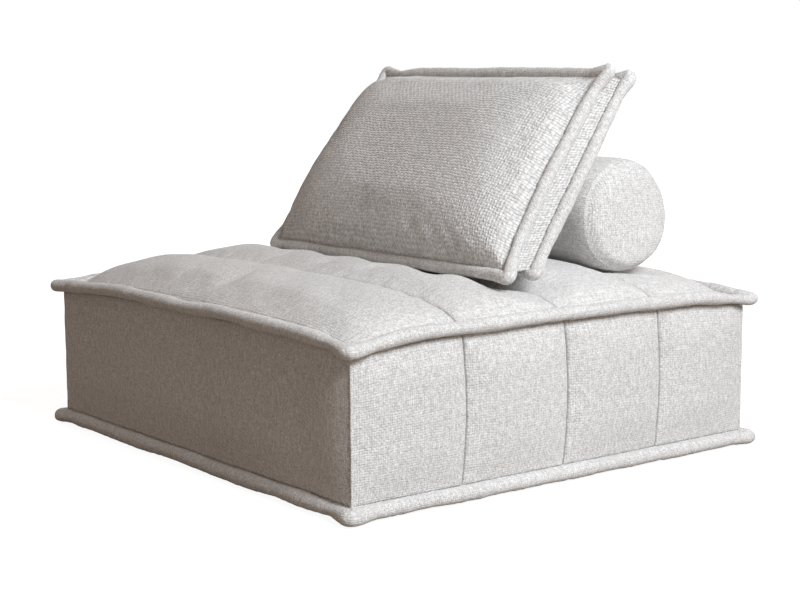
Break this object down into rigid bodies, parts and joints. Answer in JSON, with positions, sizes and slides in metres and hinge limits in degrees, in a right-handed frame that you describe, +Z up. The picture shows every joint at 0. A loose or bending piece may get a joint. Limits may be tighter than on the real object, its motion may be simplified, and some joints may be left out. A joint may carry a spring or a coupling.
{
  "type": "floor sofa",
  "caption": "Low upholstered floor sofa: square channelled seat block with rolled edges, a leaning back cushion and a loose bolster behind it.",
  "frame": {"origin": "on the floor, under the middle of the seat block", "axes": "+Z up, -Y to the front where the sitter's legs hang, +X to the right seen from the front"},
  "size_m": [1.0058, 0.9256, 0.6949],
  "materials": {
    "linen": "coarse slub weave, matt",
    "timber": "planed softwood, unvarnished",
    "zinc_steel": "zinc plated",
    "webbing_cloth": "elastic webbing",
    "black_plastic": "moulded, matt",
    "black_nonwoven": "thin non-woven cloth",
    "foam": "open-cell foam",
    "fibre": "soft white fibre",
    "zip_tape": "woven tape with moulded coils",
    "zip_metal": "nickel plated"
  },
  "bodies": {
    "seat": {"front_rail": "timber", "rear_rail": "timber", "left_rail": "timber", "right_rail": "timber", "centre_rail": "timber", "cross_rails": "timber", "corner_blocks": "timber", "frame_screws": "zinc_steel", "webbing_lengthwise": "webbing_cloth", "webbing_crosswise": "webbing_cloth", "glides": "black_plastic", "glide_nails": "zinc_steel", "dust_cover": "black_nonwoven", "support_foam": "foam", "comfort_foam": "foam", "side_wadding": "fibre", "channel_fill_1": "fibre", "channel_fill_2": "fibre", "channel_fill_3": "fibre", "channel_fill_4": "fibre", "top_channel_1": "linen", "top_channel_2": "linen", "top_channel_3": "linen", "top_channel_4": "linen", "right_panel_1": "linen", "right_panel_2": "linen", "right_panel_3": "linen", "right_panel_4": "linen", "left_panel_1": "linen", "left_panel_2": "linen", "left_panel_3": "linen", "left_panel_4": "linen", "front_panel": "linen", "rear_panel_upper": "linen", "rear_panel_lower": "linen", "rear_zip_patches": "linen", "top_roll": "linen", "bottom_roll": "linen", "seat_zip_tape": "zip_tape"},
    "back_cushion": {"cushion_front_panel": "linen", "cushion_rear_panel": "linen", "cushion_gusset": "linen", "cushion_end_strip_front": "linen", "cushion_end_strip_rear": "linen", "cushion_front_roll": "linen", "cushion_rear_roll": "linen", "cushion_fill": "fibre", "cushion_zip_tape": "zip_tape"},
    "bolster": {"bolster_tube": "linen", "bolster_left_end": "linen", "bolster_right_end": "linen", "bolster_fill": "fibre", "bolster_zip_tape": "zip_tape"},
    "seat_slider": {"seat_zip_slider": "zip_metal"},
    "seat_puller": {"seat_zip_puller": "zip_metal"},
    "cushion_slider": {"cushion_zip_slider": "zip_metal"},
    "cushion_puller": {"cushion_zip_puller": "zip_metal"},
    "bolster_slider": {"bolster_zip_slider": "zip_metal"},
    "bolster_puller": {"bolster_zip_puller": "zip_metal"}
  },
  "joints": [
    {"name": "cushion_lift", "type": "slide", "parent": "seat", "child": "back_cushion", "axis": [0, -0.6428, 0.766], "range_m": [0, 0.5]},
    {"name": "bolster_lift", "type": "slide", "parent": "seat", "child": "bolster", "axis": [0, 0.866, 0.5], "range_m": [0, 0.55]},
    {"name": "seat_zip_run", "type": "slide", "parent": "seat", "child": "seat_slider", "axis": [1, 0, 0], "range_m": [0, 0.8212]},
    {"name": "seat_zip_pull", "type": "hinge", "parent": "seat_slider", "child": "seat_puller", "pos_m": [-0.4107, 0.4414, 0.066], "axis": [0, 0, 1], "range_deg": [0, 170]},
    {"name": "cushion_zip_run", "type": "slide", "parent": "back_cushion", "child": "cushion_slider", "axis": [-0.0761, -0.6084, -0.79], "range_m": [0, 0.3212]},
    {"name": "cushion_zip_pull", "type": "hinge", "parent": "cushion_slider", "child": "cushion_puller", "pos_m": [-0.25877, 0.18975, 0.63999], "axis": [0, 0.7923, -0.6101], "range_deg": [0, 170]},
    {"name": "bolster_zip_run", "type": "slide", "parent": "bolster", "child": "bolster_slider", "axis": [1, 0, 0], "range_m": [0, 0.4812]},
    {"name": "bolster_zip_pull", "type": "hinge", "parent": "bolster_slider", "child": "bolster_puller", "pos_m": [-0.2027, 0.38244, 0.38696], "axis": [0, 0.342, 0.9397], "range_deg": [0, 170]}
  ]
}
